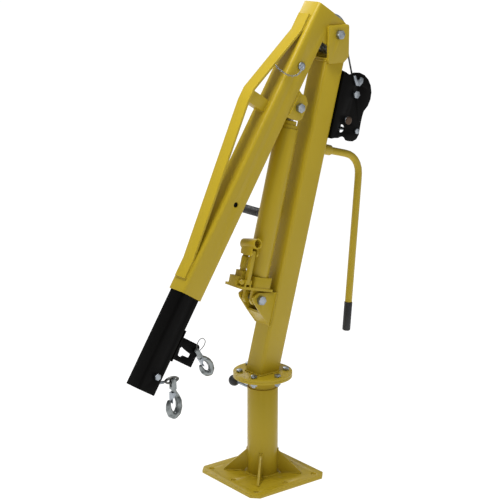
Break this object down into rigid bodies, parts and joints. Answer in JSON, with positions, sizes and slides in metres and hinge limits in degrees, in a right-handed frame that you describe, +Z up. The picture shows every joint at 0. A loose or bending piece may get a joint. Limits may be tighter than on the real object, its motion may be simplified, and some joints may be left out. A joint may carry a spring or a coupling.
{
  "type": "engine hoist crane",
  "caption": "Swivelling jib crane on a bolt-down pedestal, with a telescopic boom raised by a long-ram jack, a hand winch and latched hooks.",
  "frame": {"origin": "centre of the base plate's underside", "axes": "+Z up; +X towards the side the boom hangs on; -X towards the winch and the stored jack handle"},
  "size_m": [0.9075, 0.336, 1.5154],
  "materials": {
    "yellow_coat": "gloss powder coat",
    "black_coat": "semi-gloss powder coat",
    "black_grip": "moulded",
    "zinc_plate": "bright zinc plate",
    "bare_steel": "ground or drawn steel"
  },
  "bodies": {
    "pedestal": {"base_plate": "yellow_coat", "pedestal_pipe": "yellow_coat", "gusset_1": "yellow_coat", "gusset_2": "yellow_coat", "gusset_3": "yellow_coat", "gusset_4": "yellow_coat", "thrust_ring": "bare_steel"},
    "lock_screw": {"lock_screw": "zinc_plate", "lock_ball": "black_grip"},
    "mast": {"swivel_spigot": "yellow_coat", "lower_flange": "yellow_coat", "upper_flange": "yellow_coat", "flange_bolt_1": "zinc_plate", "flange_bolt_2": "zinc_plate", "flange_bolt_3": "zinc_plate", "flange_bolt_4": "zinc_plate", "flange_bolt_5": "zinc_plate", "flange_bolt_6": "zinc_plate", "mast_tube": "yellow_coat", "mast_head": "yellow_coat", "boom_pivot_bolt": "zinc_plate", "jack_bracket": "yellow_coat", "jack_foot_bolt": "zinc_plate", "handle_socket": "yellow_coat", "winch_frame": "black_coat", "winch_tie_bolt": "zinc_plate", "drum_spindle": "zinc_plate", "winch_rope": "bare_steel"},
    "head_sheave": {"head_sheave": "zinc_plate"},
    "jack_handle": {"jack_handle": "yellow_coat", "handle_grip": "black_grip"},
    "winch_drum": {"winch_drum": "zinc_plate"},
    "crank": {"crank_shaft": "zinc_plate", "crank_arm": "zinc_plate"},
    "crank_grip": {"crank_grip": "black_grip"},
    "winch_pawl": {"winch_pawl": "zinc_plate"},
    "boom": {"outer_boom": "yellow_coat", "truss_strap": "yellow_coat", "strap_post": "yellow_coat", "ram_bracket": "yellow_coat", "ram_bolt": "zinc_plate", "pin_chain": "bare_steel"},
    "boom_pin": {"boom_pin": "zinc_plate"},
    "boom_extension": {"inner_boom": "black_coat", "tip_bolt": "zinc_plate", "hook_bracket": "black_coat", "bracket_hook_pin": "zinc_plate", "rope_thimble": "bare_steel"},
    "tip_sheave": {"tip_sheave": "zinc_plate"},
    "bracket_hook": {"bracket_hook": "zinc_plate"},
    "bracket_hook_latch": {"bracket_hook_latch": "zinc_plate"},
    "load_hook": {"load_hook": "zinc_plate", "load_hook_pin": "zinc_plate"},
    "load_hook_latch": {"load_hook_latch": "zinc_plate"},
    "jack": {"jack_base": "yellow_coat", "jack_cylinder": "yellow_coat"},
    "jack_ram": {"jack_ram": "bare_steel"},
    "pump_piston": {"pump_piston": "yellow_coat"},
    "pump_socket": {"pump_socket": "yellow_coat"},
    "pump_link": {"pump_link": "yellow_coat"}
  },
  "joints": [
    {"name": "slew", "type": "hinge", "parent": "pedestal", "child": "mast", "pos_m": [0, 0, 0.3], "axis": [0, 0, 1], "continuous": true},
    {"name": "lock_screw_turn", "type": "hinge", "parent": "pedestal", "child": "lock_screw", "pos_m": [0, -0.1, 0.28], "axis": [0, -1, 0], "range_deg": [0, 720]},
    {"name": "boom_luff", "type": "hinge", "parent": "mast", "child": "boom", "pos_m": [-0.2613, 0, 1.412], "axis": [0, -1, 0], "range_deg": [0, 65], "deforming": ["winch_rope"]},
    {"name": "jack_swing", "type": "hinge", "parent": "mast", "child": "jack", "pos_m": [0.04009, 0, 0.60615], "axis": [0, 1, 0], "range_deg": [-0.01, 11.56]},
    {"name": "ram_stroke", "type": "slide", "parent": "jack", "child": "jack_ram", "axis": [-0.2481, 0, 0.9687], "range_m": [-0.0001, 0.2432]},
    {"name": "boom_extend", "type": "slide", "parent": "boom", "child": "boom_extension", "axis": [0.5324, 0, -0.8465], "range_m": [0, 0.473], "deforming": ["winch_rope"]},
    {"name": "boom_pin_pull", "type": "slide", "parent": "boom", "child": "boom_pin", "axis": [0, 1, 0], "range_m": [0, 0.11], "deforming": ["pin_chain"]},
    {"name": "crank_turn", "type": "hinge", "parent": "mast", "child": "crank", "pos_m": [-0.30396, 0, 1.13946], "axis": [0, 1, 0], "continuous": true, "deforming": ["winch_rope"]},
    {"name": "crank_grip_spin", "type": "hinge", "parent": "crank", "child": "crank_grip", "pos_m": [-0.05504, -0.12, 0.84994], "axis": [0, 1, 0], "continuous": true},
    {"name": "drum_turn", "type": "hinge", "parent": "mast", "child": "winch_drum", "pos_m": [-0.33824, 0, 1.21832], "axis": [0, 1, 0], "continuous": true, "deforming": ["winch_rope"]},
    {"name": "head_sheave_turn", "type": "hinge", "parent": "mast", "child": "head_sheave", "pos_m": [-0.2613, 0, 1.412], "axis": [0, 1, 0], "continuous": true, "deforming": ["winch_rope"]},
    {"name": "tip_sheave_turn", "type": "hinge", "parent": "boom_extension", "child": "tip_sheave", "pos_m": [0.43139, 0, 0.43715], "axis": [0, 1, 0], "continuous": true, "deforming": ["winch_rope"]},
    {"name": "pawl_swing", "type": "hinge", "parent": "mast", "child": "winch_pawl", "pos_m": [-0.3455, 0, 1.25364], "axis": [0, 1, 0], "range_deg": [-12, 12]},
    {"name": "handle_pull", "type": "slide", "parent": "mast", "child": "jack_handle", "axis": [-0.9668, 0, -0.2554], "range_m": [0, 0.06]},
    {"name": "bracket_hook_swing", "type": "hinge", "parent": "boom_extension", "child": "bracket_hook", "pos_m": [0.26379, 0, 0.47822], "axis": [0, 1, 0], "range_deg": [0, 45]},
    {"name": "bracket_latch_open", "type": "hinge", "parent": "bracket_hook", "child": "bracket_hook_latch", "pos_m": [0.24403, 0, 0.44778], "axis": [0, 1, 0], "range_deg": [0, 22], "stiffness_Nm_per_rad": 0.03, "springref_deg": -17.19},
    {"name": "load_hook_swing", "type": "hinge", "parent": "boom_extension", "child": "load_hook", "pos_m": [0.35, 0, 0.4], "axis": [0, 1, 0], "range_deg": [-35, 40]},
    {"name": "load_latch_open", "type": "hinge", "parent": "load_hook", "child": "load_hook_latch", "pos_m": [0.34853, 0, 0.35802], "axis": [0, 1, 0], "range_deg": [0, 22], "stiffness_Nm_per_rad": 0.03, "springref_deg": -17.19},
    {"name": "pump_stroke", "type": "slide", "parent": "jack", "child": "pump_piston", "axis": [-0.2481, 0, 0.9687], "range_m": [-0.008, 0.008]},
    {"name": "pump_lever", "type": "hinge", "parent": "pump_piston", "child": "pump_socket", "pos_m": [0.06467, 0, 0.76007], "axis": [0.9687, 0, 0.2481], "range_deg": [-14.5, 14.5]},
    {"name": "pump_link_swing", "type": "hinge", "parent": "jack", "child": "pump_link", "pos_m": [0.0875, 0.032, 0.67095], "axis": [0.9687, 0, 0.2481], "range_deg": [-0.6, 0.6]}
  ],
  "couplings": [
    {"joint": "jack_swing", "follows": "boom_luff", "ratio": 0.17747},
    {"joint": "ram_stroke", "follows": "boom_luff", "m_per_rad": 0.21415},
    {"joint": "drum_turn", "follows": "crank_turn", "ratio": -0.375},
    {"joint": "head_sheave_turn", "follows": "crank_turn", "ratio": -0.23359},
    {"joint": "tip_sheave_turn", "follows": "crank_turn", "ratio": -0.41542},
    {"joint": "pump_lever", "follows": "pump_stroke", "rad_per_m": -31.25}
  ]
}
